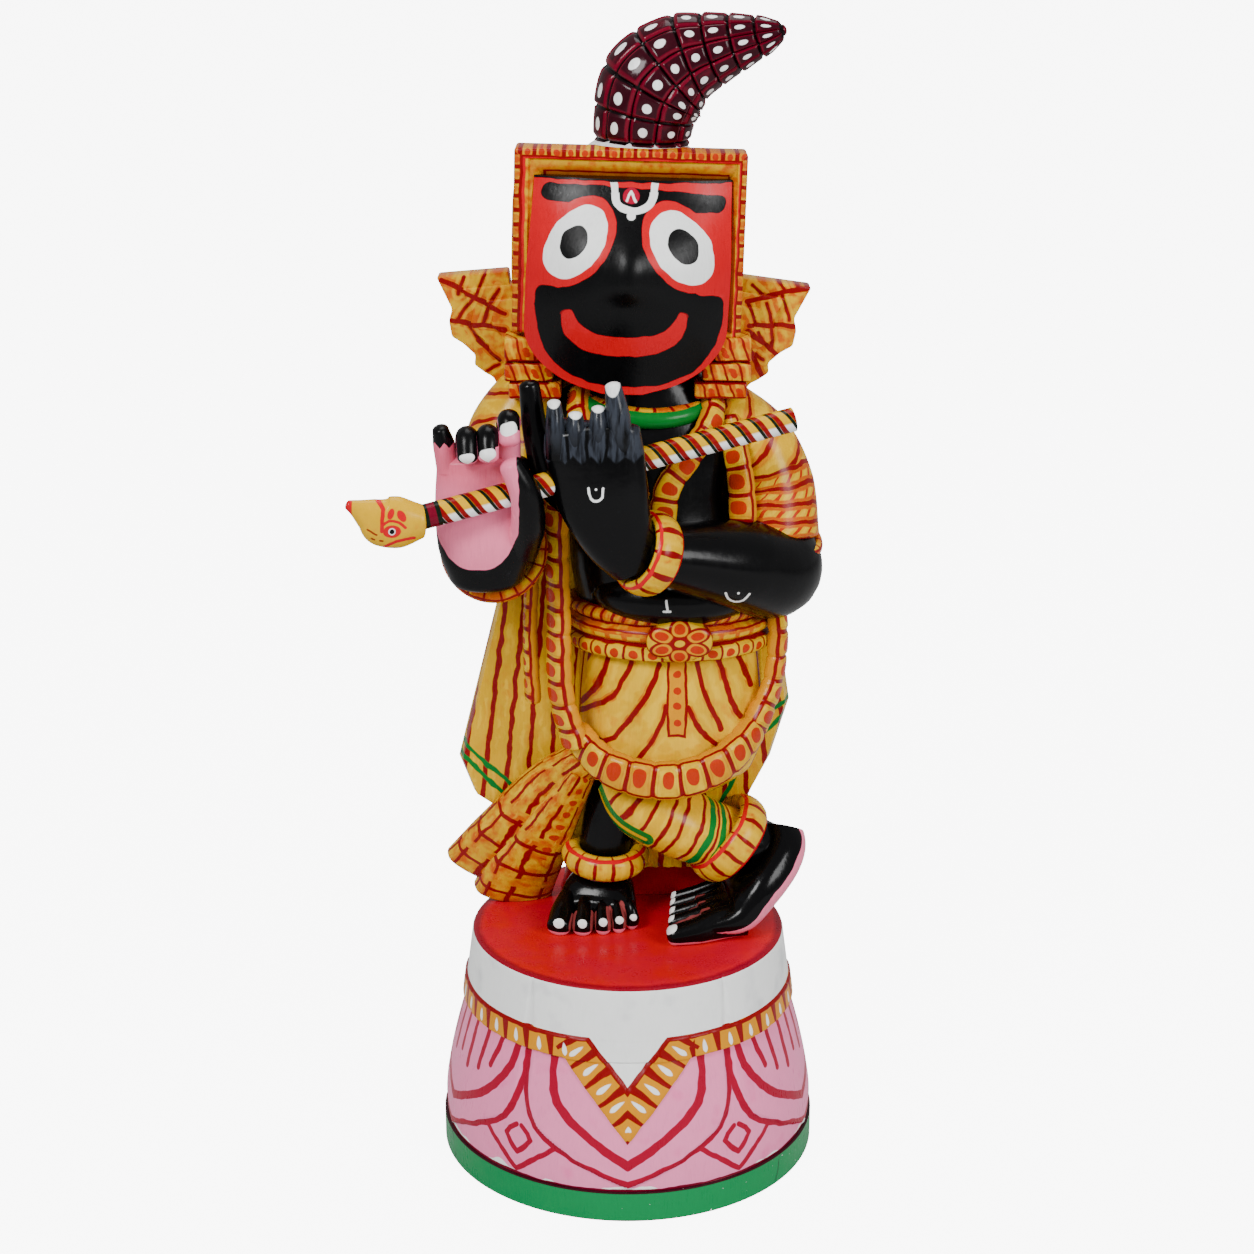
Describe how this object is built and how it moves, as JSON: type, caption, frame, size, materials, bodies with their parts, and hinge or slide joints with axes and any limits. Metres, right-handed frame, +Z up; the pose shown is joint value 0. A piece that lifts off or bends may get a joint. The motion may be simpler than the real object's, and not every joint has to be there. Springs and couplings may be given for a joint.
{
  "type": "jagannath figure",
  "caption": "Painted carved-wood figure of a standing flute player with a square crowned head and a horned crest, on a round lotus pedestal.",
  "frame": {"origin": "centre of the pedestal's flat underside", "axes": "+Z up, the figure faces -Y, and +X is to the right of someone who looks at its face"},
  "size_m": [0.2334, 0.2, 0.5943],
  "materials": {
    "pedestal": "gloss enamel paint on carved wood, pink with white, red, orange and green",
    "figure": "gloss enamel paint on carved wood, black skin and yellow, orange and red dress",
    "flute": "gloss enamel paint on a wooden rod, striped in a spiral",
    "crest": "high gloss maroon enamel with white dots on carved wood"
  },
  "bodies": {
    "root": {"pedestal": "pedestal", "figure": "figure", "flute": "flute", "crest": "crest"}
  },
  "joints": []
}
